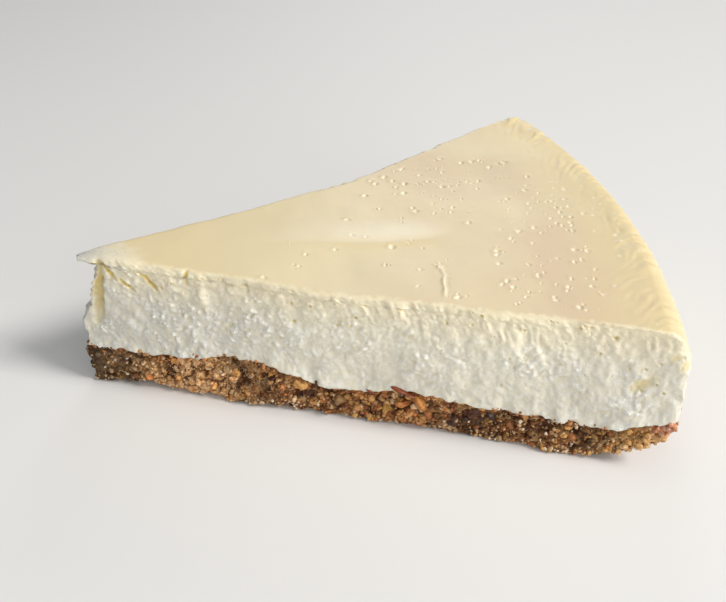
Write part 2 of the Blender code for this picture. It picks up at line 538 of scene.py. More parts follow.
ROUND = 0.75 * MM         # rounding of the top's edges along the cuts
CORNER = 1.9 * MM         # rounding of the upright edges at the rim
BACK_CORNER = 4.2 * MM    # rounding of the top's far corner, seen from above
ROLL_OFF = 0.7 * MM       # how far the top has sunk at that corner
WRINKLES_FROM = 104.0     # mm from the meeting point to where the top begins to wrinkle
TOP_PITS = top_pits()
FRONT_PITS = cut_pits(60, [(106.4, 27.1, 0.60, 0.50),
                           (50.9, 26.1, 0.50, 0.60), (47.6, 21.8, 0.55, 0.60), (59.5, 24.8, 0.45, 0.55)])
BACK_PITS = cut_pits(80)
CREASE = plan_of(np.array([27.0, 47.0, 63.0, 73.5, 79.0]), np.array([0.508, 0.457, 0.401, 0.400, 0.420]))
SCAR = plan_of(np.array([74.2, 75.2, 75.6, 76.3]), np.array([0.255, 0.170, 0.110, 0.035]))

# Chips along the back edge: from, to and depth in mm
CHIPS = [(57.0, 67.5, 0.9), (20.0, 24.0, 0.35), (88.0, 91.0, 0.3)]

# Layers of soft noise in mm: height, size across and own seed
CUT_LUMPS = ((0.40, 5.5, 0), (0.26, 2.4, 1), (0.10, 1.1, 7))
TOP_LUMPS = ((0.22, 17.0, 40), (0.05, 5.0, 41), (0.014, 1.4, 42))
TIP_LUMPS = ((0.60, 1.6, 62), (0.35, 0.8, 63))
SPECKS = ((0.35, 1.1, 65), (0.25, 0.5, 66))
WOBBLE = ((0.35, 1.3, 61), (0.12, 0.5, 67))


def layered(p, kinds, seed=0):
    """A sum of soft noises at the points p."""
    return sum(height * lumps(p, size, seed + own) for height, size, own in kinds)


def warped(flat, reach, size, seed):
    """Flat places pushed about by up to reach, so that noise read there shows no straight rows."""
    return flat + reach * np.stack([lumps(flat, size, seed), lumps(flat, size, seed + 1), 0 * flat[:, 0]], -1)


def granules(flat, size, seed, keep):
    """Small rounded lumps about size across, from 0 to 1. keep is the share of places that have one."""
    first, second, own = cells(flat, size, seed)
    return smooth((second - first) / 0.5) * np.clip(1 - first / 0.75, 0, 1) * smooth((keep - own) / 0.15)


def cut_relief(s, seed):
    """The relief of a cut face in mm, soft curd torn and dragged by the knife, and the fine part of it."""
    out, z = s.out / MM, s.z / MM
    slant = mix(0.75, 0.15, smooth((out - 8) / 45))
    flat = warped(np.stack([out, z, np.full(len(out), 3.0 * seed)], -1), 0.5, 1.3, seed + 20)
    across = flat[:, 0] + slant * z
    drag = np.stack([across / 0.65, flat[:, 1] / 1.9, flat[:, 2]], -1)
    torn = 0.35 + 1.1 * lumps(flat, 6.5, seed + 3) + 0.35 * lumps(flat, 2.2, seed + 9)
    torn = smooth(torn + 0.45 * bump(out, 36, 34) * bump(z, 17, 9))
    lower = 1 - smooth((z - s.joint / MM - 1.5) / 6.0)
    upper = 1 - smooth(s.from_top / MM / 9.0)
    torn = torn * (1 - 0.40 * upper)
    calm = (1 - 0.15 * lower) * mix(1.15, 0.65, smooth((out - 35) / 40))
    relief = layered(flat, CUT_LUMPS, seed) + (0.06 + 0.19 * upper) * lumps(drag, 1.0, seed + 2)
    fine = (0.10 + 0.46 * torn) * granules(flat, 1.55, seed + 11, 0.55)
    fine += (0.10 + 0.34 * torn) * granules(flat + 5.0, 0.95, seed + 13, 0.5)
    fine -= 0.36 * torn * granules(flat + 9.0, 1.3, seed + 15, 0.30)
    fine = fine * calm + 0.07 * lumps(flat, 0.5, seed + 6)
    return relief + fine, fine


def along_line(x, y, line):
    """How far points are from a line of several segments, on which side, and how far along it they are."""
    best, side, along = np.full(len(x), 99.0), np.zeros(len(x)), np.zeros(len(x))
    for i, (a, b) in enumerate(zip(line[:-1], line[1:])):
        distance, share = to_segment(x, y, a, b)
        turn = (b[0] - a[0]) * (y - a[1]) - (b[1] - a[1]) * (x - a[0])
        closer = distance < best
        best = np.where(closer, distance, best)
        side = np.where(closer, np.sign(turn), side)
        along = np.where(closer, (i + share) / (len(line) - 1), along)
    return best, side, along


def crease(x, y):
    """The relief in mm of the low step across the top, and its painted light and shade: one side painted
    lighter, the other darker.
    """
    far, side, along = along_line(x, y, CREASE)
    step = smooth(0.5 + 0.5 * far * side / 2.2) - 0.5
    sharp = smooth(0.5 + 0.5 * far * side / 0.5) - 0.5
    near = bump(along, 0.55, 0.5) * (1 - smooth((far - 2) / 9))
    return 0.55 * step * near, (0.45 * sharp + 0.50 * step) * near


def scar(x, y, flat):
    """The relief in mm of the short scar in the top, and how far up its ridge each point is."""
    far, side, along = along_line(x, y, SCAR)
    ends = smooth(along / 0.12) * smooth((1.02 - along) / 0.12) * (0.75 + 0.45 * lumps(flat, 1.0, 57))
    aside = far * side + 0.42 * lumps(flat, 1.5, 45)
    crack = np.exp(-((aside - 0.42) / 0.26) ** 2) * ends
    ridge = np.exp(-((aside + 0.12) / 0.32) ** 2) * ends
    return 0.34 * ridge - 0.16 * crack, ridge


def top_relief(s):
    """The relief of the baked skin in mm, how far each point is in a pit and up the scar's ridge, and the
    painted light and shade of the crease and the scar's ridge.
    """
    x, y = (s.out * np.cos(s.angle)) / MM, (s.out * np.sin(s.angle)) / MM
    flat = np.stack([x, y, np.zeros(len(x))], -1)
    uneven = warped(warped(flat, 0.26, 0.9, 46), 0.14, 0.4, 56)
    pits, in_pit = add_pits(uneven[:, 0], uneven[:, 1], TOP_PITS)
    step, painted_light = crease(x, y)
    scarred, ridge = scar(x, y, flat)
    relief = layered(flat, TOP_LUMPS) + step + scarred + pits
    relief = relief * smooth(s.from_rim / (5 * MM)) + shoulder_relief(s)
    return relief, in_pit, ridge, painted_light + 0.6 * ridge


def shoulder_relief(s):
    """Fine slanted wrinkles in mm, where the skin rolls over from the top to the rim."""
    turn = s.angle * SLANT / MM
    inward = (s.from_rim - s.from_top) / MM
    flat = np.stack([turn, inward, 0 * turn], -1)
    swirl = np.stack([inward * 0.9 + 0.8 * turn + 1.6 * lumps(flat, 5.0, 44), turn / 3.5, 0 * turn], -1)
    patches = 0.65 + 0.5 * lumps(flat, 8.0, 48)
    return 0.28 * (1 - smooth(np.abs(inward + 1.0) / 11)) * patches * lumps(swirl, 0.75, 43)


def rim_relief(s):
    """The relief of the baked side against the tin in mm: fine wrinkles and small pits."""
    turn, z = s.angle * SLANT / MM, s.z / MM
    wander = 1.6 * lumps(np.stack([turn, z, 0 * turn], -1), 5.0, 50)
    wrinkle = np.stack([turn / 0.9 + wander, z / 4.0, 0 * turn], -1)
    flat = np.stack([turn, z, 0 * turn + 7], -1)
    first, _, _ = cells(flat, 3.0, 52)
    raised = 0.16 * lumps(wrinkle, 1.0, 51) + 0.20 * lumps(flat, 1.8, 54)
    return raised + 0.40 * granules(flat, 1.7, 55, 0.22) - 0.25 * smooth((0.18 - first) / 0.08)


def rounded_edge(a, b, radius):
    """How far points at depths a and b behind two sides move, for a round edge between the two."""
    t = (a - b) / radius
    turn = np.pi / 4 * (1 + t)
    on = (np.abs(t) < 1) & (np.minimum(a, b) < 1e-6)
    return (np.where(on, radius * (1 - np.cos(turn)) - a, 0.0),
            np.where(on, radius * (1 - np.sin(turn)) - b, 0.0))


def rounded_corner(a, b, radius):
    """How far points at depths a and b behind two upright sides move in, for a round corner between them."""
    x, y = np.maximum(radius - a, 0), np.maximum(radius - b, 0)
    share = 1 - np.maximum(x, y) / np.maximum(np.hypot(x, y), 1e-9)
    return x * share, y * share


def close_to(depth, reach):
    """1 on a side, falling to nothing at reach behind it."""
    return 1 - smooth(depth / reach)


def chipped(s, at):
    """How deep the back edge is chipped, in mm."""
    found = np.zeros(len(at))
    for start, end, depth in CHIPS:
        middle, half = (start + end) / 2, (end - start) / 2
        ragged = 0.7 + 0.6 * lumps(at, 1.5, 60)
        along = bump(s.out / MM, middle, half * 1.2) ** 0.5
        found += depth * along * ragged * close_to(s.from_back, 1.6 * MM)
    return found


def slits(s, at):
    """The relief of the slits in the front cut in mm, and how strongly the inside of each is painted amber,
    as painted shade and glow.
    """
    relief, yellow = np.zeros(len(at)), np.zeros(len(at))
    x, z = s.out / MM + layered(at, WOBBLE), s.z / MM
    for x0, z0, x1, z1, half_width, depth, shade_glow in SLITS:
        distance, share = to_segment(x, z, (x0, z0), (x1, z1))
        deepest = 0.45 + 0.55 * np.sin(np.pi * np.clip(share, 0.08, 0.92))
        shape = np.exp(-(distance / half_width) ** 3) * deepest
        relief -= depth * shape
        yellow = np.maximum(yellow, shade_glow * shape * (1 - 0.45 * share))
    return relief, yellow


def carve_cuts(s, at, places):
    """Gives both cuts their relief. Returns painted shade and glow for pits and slits, and the fine relief
    that is painted as shade and glints.
    """
    calm = 0.30 + 0.70 * smooth(s.from_top / (2.2 * MM))
    thick = smooth(s.out / (9 * MM))
    slit, in_slit = slits(s, at)
    relief, front_fine = cut_relief(s, 1)
    pit, in_front = add_pits(s.out / MM, s.z / MM, FRONT_PITS)
    front = (relief * calm + pit + slit) * close_to(s.from_front, 0.9 * MM)
    push(places, FRONT_OUT, front * (0.45 + 0.55 * thick) * MM)
    relief, back_fine = cut_relief(s, 2)
    pit, in_back = add_pits(s.out / MM, s.z / MM, BACK_PITS)
    back = (relief * calm + pit) * close_to(s.from_back, 0.9 * MM)
    push(places, BACK_OUT, back * (0.25 + 0.75 * thick) * MM)
    on_front, on_back = close_to(s.from_front, 0.5 * MM), close_to(s.from_back, 0.5 * MM)
    # painted shade and glow inside the pits and slits
    hollow_shade = np.maximum.reduce([0.7 * in_front * on_front, 0.8 * in_back * on_back, 1.5 * in_slit * on_front])
    fine = np.where(s.u < 0.5, front_fine, back_fine)
    return hollow_shade, np.maximum(on_front, on_back) * (fine - 0.06) / 0.22


def carve_ends(s, at, places):
    """Gives the rim, its shoulder and the torn tip their relief."""
    out = outward(s.angle)
    on_rim = close_to(s.from_rim, 1.0 * MM)
    rolled = np.clip(1 - s.from_top / SHOULDER_DOWN, 0, 1)
    over = out * np.sqrt(1 - rolled**2)[:, None] + UP * (SHOULDER_IN / SHOULDER_DOWN * rolled)[:, None]
    over /= np.linalg.norm(over, axis=1)[:, None]
    push(places, over, shoulder_relief(s) * on_rim * (s.from_top > 1e-6) * MM)
    rim = rim_relief(s) * on_rim * smooth((s.from_top - 2 * MM) / (5 * MM))
    tip = layered(at, TIP_LUMPS) * close_to(s.from_tip, 1.0 * MM)
    push(places, out, (rim - tip) * MM)


def round_edges(s, at, places):
    """Rounds the top's edges along the cuts and the corners at the rim, and sinks the far corner."""
    out = outward(s.angle)
    by_tip = 1 - smooth((s.out - 14 * MM) / (26 * MM))
    radius = ROUND * (1 + 0.3 * lumps(at, 6.0, 64) + 0.25 * lumps(at, 1.8, 68) + 1.1 * by_tip)
    off_tip = smooth(s.out / (7 * MM))
    front_corner = CORNER * smooth(s.from_top / (4 * MM))
    back_corner = mix(BACK_CORNER, CORNER, smooth(s.from_top / (6 * MM)))
    for depth, way, corner in ((s.from_front, FRONT_OUT, front_corner), (s.from_back, BACK_OUT, back_corner)):
        inward, down = rounded_edge(depth, s.from_top, radius)
        push(places, way, -inward * off_tip)
        push(places, UP, -down * off_tip)
        inward, from_rim = rounded_corner(depth, s.from_rim, corner)
        push(places, way, -inward)
        push(places, out, -from_rim)
    by_corner = np.clip(1 - s.from_rim / (14 * MM), 0, 1) ** 2 * smooth((s.u - 0.45) / 0.5)
    push(places, UP, -ROLL_OFF * by_corner * close_to(s.from_top, 11 * MM))


def shape_lip(s, places):
    """Thins the lip of skin over the torn tip, and lets it droop."""
    on_lip = close_to(s.from_top - LIP_HEIGHT, 1.5 * MM)
    thinner = 0.75 * (1 - smooth((s.out / MM - 3.0) / 5.5))
    droop = np.clip(1 - s.out / (9.5 * MM), 0, 1) ** 2 * close_to(s.from_top, 7 * MM)
    push(places, UP, thinner * np.minimum(s.from_top, LIP_HEIGHT) * on_lip - 2.3 * droop * MM)


def smear_joint(s, at, places):
    """Drags the filling's lower edge out and down over the crumb."""
    smear = 1 - smooth((s.z - s.joint) / (2.4 * MM))
    ragged = 0.45 + 0.5 * lumps(at, 2.6, 71) + 0.4 * lumps(at, 1.0, 72)
    proud = 0.40 + 0.30 * lumps(at, 1.7, 73)
    down = 0.80 * ragged + 1.3 * close_to(s.from_rim, 9 * MM)
    for depth, way in ((s.from_front, FRONT_OUT), (s.from_back, BACK_OUT), (s.from_rim, outward(s.angle))):
        near = smear * close_to(depth, 1.2 * MM)
        push(places, way, proud * near * MM)
        push(places, UP, -down * near * MM)


def shape_filling(vuw):
    """The filling's points in the row frame, and the numbers that its material reads."""
    s = cheese_layer.spot(vuw)
    places = s.place()
    at = places / MM
    chip = chipped(s, at)
    hollow_shade, torn = carve_cuts(s, at, places)
    skin_relief, in_pit, ridge, painted_light = top_relief(s)
    on_cut = (s.u < 0.0001) | (s.u > 0.9999)
    follows_top = np.where(on_cut, close_to(s.from_top, 2.5 * MM), s.w > 0.9999)
    push(places, UP, (skin_relief * follows_top - chip * close_to(s.from_top, 2.0 * MM)) * MM)
    carve_ends(s, at, places)
    round_edges(s, at, places)
    shape_lip(s, places)
    smear_joint(s, at, places)

    out, down = s.out / MM, s.from_top / MM
    speck = layered(at, SPECKS)
    from_cut = np.minimum(s.from_front, s.from_back) / MM
    skin = smooth((from_cut + speck - 0.40) / 0.5) + 0.75 * smooth((0.15 - down + speck) / 0.5)
    skin = np.clip(skin, 0, 1) * smooth((out - 10.5 + 6 * speck + 8 * (s.u - 0.5)) / 5)
    # Chips show the bare curd, and the scar's ridge shows it too as a painted highlight.
    skin *= 1 - 0.8 * smooth(chip * 3) - 0.6 * np.clip(ridge, 0, 1)
    # Painted shade: the curd is darkened towards the tip, towards the rim end and low down on the cuts.
    low = smooth((22 - s.z / MM + 2.5 * lumps(at, 7.0, 69)) / 12)
    painted_shade = 0.75 * (1 - smooth((out - 30) / 20)) + 0.5 * smooth((out - 80) / 25) + 0.25 * low
    return places + APEX, {
        "skin": np.clip(skin, 0, 1),
        "hollow_shade": np.clip(hollow_shade, 0, 1),
        # fine relief of the cuts: painted shade in its dips and painted glints on its tops, the chips
        # counting as tops
        "torn": np.clip(2 * chip + torn, -1, 1),
        # paler inside the pits: partly the paler curd, partly a painted highlight
        "pit": np.clip(in_pit * close_to(s.from_top, 0.5 * MM), 0, 1),
        "rise": np.clip(1 - down / 18, 0, 1),
        "shoulder": np.clip(1 - s.from_rim / (16 * MM), 0, 1) * np.clip(1 - down / 14, 0, 1),
        "outwards": s.out / SLANT,
        # painted light and shade of the crease's sides and the scar's ridge
        "light": painted_light,
        "painted_shade": np.clip(painted_shade, 0, 1),
        "rim": close_to(s.from_rim, 2.0 * MM) * smooth((down - 4.0 + 2.0 * speck) / 5.0),
    }


# ---- The inner points of the sides ----

def over_plan(step):
    """Flat points step apart over the slice's plan and beyond its cuts."""
    return jittered(LENGTH, PLAN_WIDTH, step) - [0.0, PLAN_WIDTH / 2]


def cut_side(layer, u, step):
    """Points of a cut face, with more of them in the filling's pits and slits."""
    flat = jittered(LENGTH, layer.across, step)
    if layer is cheese_layer:
        pits = BACK_PITS if u else FRONT_PITS
        flat = with_pits(flat, np.column_stack([layer.cut_spots(u, pits), pits[:, 2]]))
        for slit in () if u else SLITS:
            added = slit_points(slit[:2], slit[2:4], slit[4])
            added = added[added[:, 0] * MM >= TIP_ENDS]
            flat = np.concatenate([flat, layer.cut_spots(u, added)])
    flat = flat[(flat[:, 0] > 0.15) & (flat[:, 0] < LENGTH - 0.15)]
    flat = flat[(flat[:, 1] > 0.1) & (flat[:, 1] < layer.across - 0.05)]
    return layer.on_cut(u, flat)


def end_side(layer, v, width, step):
    """Points of the tip's end or of the rim."""
    height = layer.across * END_STRETCH
    flat = jittered(width, height, step)
    return np.stack([np.full(len(flat), float(v)), flat[:, 0] / width, flat[:, 1] / height], -1)


def baked_top(step):
    """Places of the baked top's plan, closer together in its pits, at its scar and where it wrinkles."""
    flat = with_pits(over_plan(step), TOP_PITS[:, :3])
    by_rim = over_plan(0.62 * step)
    by_rim = by_rim[np.hypot(*by_rim.T) > WRINKLES_FROM]
    inner = flat[np.hypot(*flat.T) <= WRINKLES_FROM]
    return np.concatenate([inner, by_rim, slit_points(SCAR[0], SCAR[-1], 1.0)])


def inner_points(layer, cut_steps, top_step, rim_step, hidden_end):
    """The inner points of a layer's six sides. hidden_end is the end of w that the other layer covers."""
    found = {(1, u): cut_side(layer, u, cut_steps[u]) for u in (0, 1)}
    found[0, 0] = end_side(layer, 0, TIP_WIDTH, 0.5)
    found[0, 1] = end_side(layer, 1, RIM_WIDTH, rim_step)
    found[2, hidden_end] = layer.lifted(hidden_end, over_plan(2.2), 1.4)
    flat = baked_top(top_step) if layer is cheese_layer else over_plan(top_step)
    shown = 1 - hidden_end
    found[2, shown] = layer.lifted(shown, flat, 0.35 * top_step)
    return found


def edge_counts(along_v, along_u_tip, along_u_rim, along_w):
    """Steps on the cube's edges, by axis and by the ends of the other two axes."""
    ends = list(np.ndindex(2, 2))
    return {0: dict.fromkeys(ends, along_v),
            1: {(v, w): along_u_rim if v else along_u_tip for v, w in ends},
            2: dict.fromkeys(ends, along_w)}


# ---- Materials ----

def node_tree(material):
    """A material's shader, a function that makes nodes and links their inputs, and its links."""
    material.use_nodes = True
    nodes, links = material.node_tree.nodes, material.node_tree.links
    shader = nodes["Principled BSDF"]

    def make(kind, inputs=None, **settings):
        node = nodes.new("ShaderNode" + kind)
        for key, value in settings.items():
            setattr(node, key, value)
        for key, value in (inputs or {}).items():
            if isinstance(value, bpy.types.NodeSocket):
                links.new(value, node.inputs[key])
            else:
                node.inputs[key].default_value = value
        return node

    return shader, make, links


def number(make, name):
    """The number called name that the mesh's points hold."""
    return make("Attribute", attribute_name=name).outputs["Fac"]


def blended(make, share, a, b, how="MIX"):
    """Colour a turning into colour b as share goes from 0 to 1."""
    a, b = (c if isinstance(c, bpy.types.NodeSocket) else (*c, 1.0) for c in (a, b))
    return make("Mix", {0: share, 6: a, 7: b}, data_type="RGBA", blend_type=how, clamp_factor=True).outputs[2]


def product(make, a, b):
    return make("Math", {0: a, 1: b}, operation="MULTIPLY").outputs[0]


def ramp(make, source, low, high, to_low=0.0, to_high=1.0):
    """source from low to high, as to_low to to_high."""
    limits = {"From Min": low, "From Max": high, "To Min": to_low, "To Max": to_high}
    return make("MapRange", {"Value": source, **limits}).outputs["Result"]


def noise_of(make, size, detail=2.0, roughness=0.5):
    """Noise over the object's own place, with lumps about size across in metres."""
    place = make("TexCoord").outputs["Object"]
    settings = {"Vector": place, "Scale": 1 / size, "Detail": detail, "Roughness": roughness}
    return make("TexNoise", settings).outputs["Fac"]


SKIN = (0.785, 0.668, 0.425)
SKIN_PINK = (0.725, 0.575, 0.380)
SKIN_YELLOW = (0.775, 0.635, 0.365)
# painted highlight on the crease's lit side and the scar's ridge
SKIN_PAINTED_HIGHLIGHT = (0.900, 0.805, 0.600)
# paler skin in the pits: partly the paler curd, partly a painted highlight
SKIN_PIT = (0.940, 0.865, 0.690)
RIM_SKIN = (0.735, 0.665, 0.525)
SKIN_TAN = (0.790, 0.655, 0.385)
CURD_WHITE = (0.810, 0.785, 0.690)
CURD_GREY = (0.745, 0.715, 0.600)
CURD_CREAM = (0.880, 0.775, 0.525)
# painted shade of the curd
CURD_PAINTED_SHADE = (0.600, 0.585, 0.525)
# painted shade in the dips of the curd's fine relief
CURD_PAINTED_DIP_SHADE = (0.690, 0.630, 0.465)
# painted glints on the tops of the curd's fine relief
CURD_PAINTED_GLINT = (0.930, 0.915, 0.850)
# painted shade and glow inside the slits and pits
CURD_HOLLOW_SHADE_GLOW = (0.680, 0.500, 0.090)


def curd_colour(make):
    """Moist curd: less yellow lower down and yellower under the skin, with painted shade towards its ends and
    low down, painted shade in the dips and painted glints on the tops of its fine relief, and painted shade
    and glow inside the slits and pits.
    """
    outwards, torn = number(make, "outwards"), number(make, "torn")
    mottle = noise_of(make, 0.0022, 4.0, 0.6)
    specks = noise_of(make, 0.00042, 2.0, 0.6)
    yellower = product(make, ramp(make, number(make, "rise"), 0.45, 1.0), ramp(make, outwards, 0.03, 0.12))
    # painted glints: white specks on the tops of the fine relief
    painted_glints = product(make, ramp(make, specks, 0.46, 0.62), ramp(make, torn, -0.2, 0.9))
    curd = blended(make, ramp(make, mottle, 0.35, 0.70), CURD_WHITE, CURD_GREY)
    # painted shade towards the tip, the rim end and low down
    curd = blended(make, number(make, "painted_shade"), curd, CURD_PAINTED_SHADE)
    curd = blended(make, yellower, curd, CURD_CREAM)
    # painted shade in the dips of the fine relief
    curd = blended(make, ramp(make, torn, 0.1, -0.9), curd, CURD_PAINTED_DIP_SHADE)
    curd = blended(make, painted_glints, curd, CURD_PAINTED_GLINT)
    # painted shade and glow inside the slits and pits
    return blended(make, number(make, "hollow_shade"), curd, CURD_HOLLOW_SHADE_GLOW)


def skin_colour(make):
    """Baked skin: cream, pinker in patches towards the rim, yellower on the shoulder, pale in its pits partly
    as a painted highlight, and with painted light and shade at the crease and the scar's ridge.
    """
    outwards, light = number(make, "outwards"), number(make, "light")
    soft = ramp(make, noise_of(make, 0.020, 3.0), 0.26, 0.56)
    patch = product(make, soft, ramp(make, outwards, 0.45, 0.72))
    top = blended(make, patch, SKIN, SKIN_PINK)
    top = blended(make, ramp(make, outwards, 0.50, 0.20), top, SKIN_TAN)
    # painted light and shade: the crease's sides lighter and darker, the scar's ridge lighter
    top = blended(make, ramp(make, light, 0.0, 0.6), top, SKIN_PAINTED_HIGHLIGHT)
    top = blended(make, ramp(make, light, 0.0, -0.6), top, SKIN_TAN)
    top = blended(make, number(make, "shoulder"), top, SKIN_YELLOW)
    top = blended(make, number(make, "rim"), top, RIM_SKIN)
    # pits paler: partly the paler curd, partly a painted highlight
    return blended(make, number(make, "pit"), top, SKIN_PIT)


def cheese_material():
    """Baked cheese: a cream skin with a satin gloss, over moist curd."""
    material = bpy.data.materials.new("baked_cheese")
    shader, make, links = node_tree(material)
    skin = number(make, "skin")
    colour = blended(make, skin, curd_colour(make), skin_colour(make))
    links.new(colour, shader.inputs["Base Color"])
    rough_curd = ramp(make, noise_of(make, 0.0009), 0.35, 0.65, 0.22, 0.58)
    links.new(ramp(make, skin, 0.0, 1.0, rough_curd, 0.42), shader.inputs["Roughness"])
    fine = noise_of(make, 0.00035, 3.0, 0.6)
    strength = ramp(make, skin, 0.0, 1.0, 0.80, 0.10)
    bumps = make("Bump", {"Strength": strength, "Distance": 0.00012, "Height": fine})
    links.new(bumps.outputs[0], shader.inputs["Normal"])
    shader.inputs["Subsurface Weight"].default_value = 0.15
    shader.inputs["Subsurface Radius"].default_value = (1.0, 0.72, 0.42)
    shader.inputs["Subsurface Scale"].default_value = 0.0004
    return material


def make_filling():
    counts = edge_counts(380, 8, 200, 80)
    insides = inner_points(cheese_layer, (0.33, 0.38), 0.72, 0.62, hidden_end=0)
    vuw, faces = closed_skin(counts, insides, cheese_layer.flatten)
    places, numbers = shape_filling(vuw)
    piece = mesh_piece("filling_baked", places, faces, numbers, cheese_material())
    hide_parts("filling")
    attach(piece, "root")


# ---- The crumb base ----

SAND = (0.680, 0.460, 0.250)
TAN = (0.440, 0.235, 0.085)
GOLD = (0.690, 0.390, 0.130)
RUST = (0.410, 0.165, 0.055)
BROWN = (0.200, 0.078, 0.026)
CARAMEL = (0.075, 0.022, 0.006)
PALETTE = np.array([SAND, TAN, GOLD, RUST, BROWN, CARAMEL])
BLUSH = (0.620, 0.215, 0.105)
SOAKED = (0.400, 0.165, 0.085)
SUGAR = (0.850, 0.730, 0.570)
AMBER = (0.640, 0.360, 0.100)
BRAN = (0.270, 0.075, 0.026)
DARKER = (0.55, 0.44, 0.34)    # what the dark specks keep of a crumb's colour

LIGHTEST = 0.84          # the most of any colour that crumb reflects

# How light the crumb is along the front cut: mm from the meeting point of the cuts, and the lightness
TONES = [(4, 0.28), (9, 0.58), (14, 0.78), (20, 2.10), (28, 2.15), (35, 1.05), (42, 0.78), (50, 1.20),
         (60, 1.30), (70, 1.65), (78, 0.88), (86, 0.68), (96, 0.78), (104, 0.78), (114, 0.72), (120, 0.72)]


def front_place(out, up):
    """The place on the front cut at out and up in mm, from the meeting point of the cuts."""
    return np.array([out * math.cos(WEDGE / 2), -out * math.sin(WEDGE / 2), up])


def held(colours):
    """The colours with those that are too light darkened, so that they keep their hue."""
    return colours * np.minimum(1.0, LIGHTEST / np.maximum(colours.max(axis=1), LIGHTEST))[:, None]


def crumb_tone(p):
    """How light the crumb is at points p in mm from the meeting point of the cuts."""
    out = np.hypot(p[:, 0], p[:, 1])
    by_front = close_to(p @ -FRONT_OUT, 6.0)
    anywhere = 1.0 + 0.35 * lumps(p, 11.0, 71)
    return mix(anywhere, np.interp(out, *np.array(TONES).T), by_front) * (1 + 0.50 * lumps(p, 3.0, 72))


def crumb_colour(p, pick):
    """A colour for crumb at points p in mm, where pick from 0 to 1 chooses among those found there."""
    out = np.hypot(p[:, 0], p[:, 1])
    by_tip = np.clip(1 - smooth((out - 34) / 14) + 0.25 * lumps(p, 9.0, 70), 0, 1)[:, None]
    by_rim = smooth((out - 98) / 14)[:, None]
    # the share of each colour in the palette: over most of the base, near the tip and near the rim
    middle = np.cumsum([0.13, 0.19, 0.14, 0.22, 0.20, 0.12])
    sandy = np.cumsum([0.44, 0.40, 0.03, 0.01, 0.11, 0.01])
    golden = np.cumsum([0.30, 0.18, 0.40, 0.06, 0.05, 0.01])
    limits = middle + (sandy - middle) * by_tip + (golden - middle) * by_rim
    colour = PALETTE[np.argmax(pick[:, None] <= limits + 1e-6, axis=1)]
    blush = 1 - smooth(np.linalg.norm(p - front_place(117.0, 10.6), axis=1) / 5.0)
    below = joint_height(*shares_at(p * MM)) / MM - p[:, 2]
    soaked = (1 - smooth((below - 0.4) / 1.4)) * smooth(0.5 + 0.8 * lumps(p, 5.0, 74))
    colour = mix(colour, np.array(SOAKED), 0.6 * soaked[:, None])
    return mix(colour, np.array(BLUSH), 0.7 * blush[:, None]) * crumb_tone(p)[:, None]


def shape_base(vuw):
    """The core of the base: its points in the row frame, and the colour that its material reads."""
    s = crumb_layer.spot(vuw)
    places = s.place()
    p = places / MM
    first, second, own = cells(warped(p, 0.5, 1.2, 96), 2.3, 80)
    grain_first, _, grain_own = cells(p, 0.62, 90)
    gap = (1 - smooth((second - first) / 0.26)) * smooth(0.6 + 1.2 * lumps(p, 7.0, 97))
    hole = smooth((lumps(p, 2.0, 98) - 0.34) / 0.16)
    relief = 0.40 * (own - 0.6) - 0.60 * gap - 0.90 * hole
    relief += 0.26 * (0.5 - grain_first) + 0.10 * lumps(p, 0.4, 91) + 0.25 * lumps(p, 6.0, 92) - 0.15
    bottom = close_to(s.z, 2.2 * MM)
    on_plan = p * [1, 1, 0]
    bite = bottom * (0.5 + 0.5 * lumps(on_plan, 5.0, 93) + 0.5 * lumps(on_plan, 1.6, 94))
    low_arch = bump(s.out / MM, 16.0, 10.0) * close_to(s.from_front, 4 * MM) * close_to(s.z, 5 * MM)
    relief -= 0.9 * bite + 0.8 * low_arch
    thick = smooth(s.out / (8 * MM))
    out, by_rim = outward(s.angle), close_to(s.from_rim, 1.2 * MM)
    push(places, FRONT_OUT, relief * thick * close_to(s.from_front, 1.2 * MM) * MM)
    push(places, BACK_OUT, relief * thick * close_to(s.from_back, 1.2 * MM) * MM)
    push(places, out, relief * by_rim * MM * (1 - smooth(1 - s.z / FOOT_UP) * by_rim))
    push(places, out, -0.35 * lumps(p, 0.9, 95) * close_to(s.from_tip, 1.0 * MM) * MM)
    push(places, UP, (0.25 + 0.5 * bite) * bottom * MM * (s.z < 0.05 * MM))
    push(places, UP, 1.6 * low_arch * MM * close_to(s.z, 0.5 * MM))
    colour = mix(crumb_colour(p, own), crumb_colour(p, grain_own), 0.6)
    # painted shade: the sunken gaps and holes between the crumbs are darkened nearly to black, in caramel's
    # colour
    colour = mix(0.8 * colour, np.array(CARAMEL), (0.9 * np.maximum(gap, hole))[:, None])
    return places + APEX, {"crumb": np.column_stack([held(colour), np.ones(len(colour))])}


def crumb_material(name, roughness, gloss=0.25):
    """Biscuit crumb: each piece's own colour, speckled and finely pitted."""
    material = bpy.data.materials.new(name)
    shader, make, links = node_tree(material)
    colour = make("Attribute", attribute_name="crumb").outputs["Color"]
    darker = blended(make, 1.0, colour, DARKER, "MULTIPLY")
    speck = ramp(make, noise_of(make, 0.00045, 3.0, 0.65), 0.36, 0.62)
    links.new(blended(make, speck, darker, colour), shader.inputs["Base Color"])
    bumps = make("Bump", {"Strength": 0.6, "Distance": 0.00010, "Height": noise_of(make, 0.0002)})
    links.new(bumps.outputs[0], shader.inputs["Normal"])
    shader.inputs["Roughness"].default_value = roughness
    shader.inputs["Specular IOR Level"].default_value = gloss
    return material


# The base's front, back, rim, tip and underside, as axis and end, and how thickly crumbs cover each
SIDES = ((1, 0), (1, 1), (0, 1), (0, 0), (2, 0))
SIDE_WEIGHTS = (1.0, 1.0, 0.8, 1.0, 0.0)


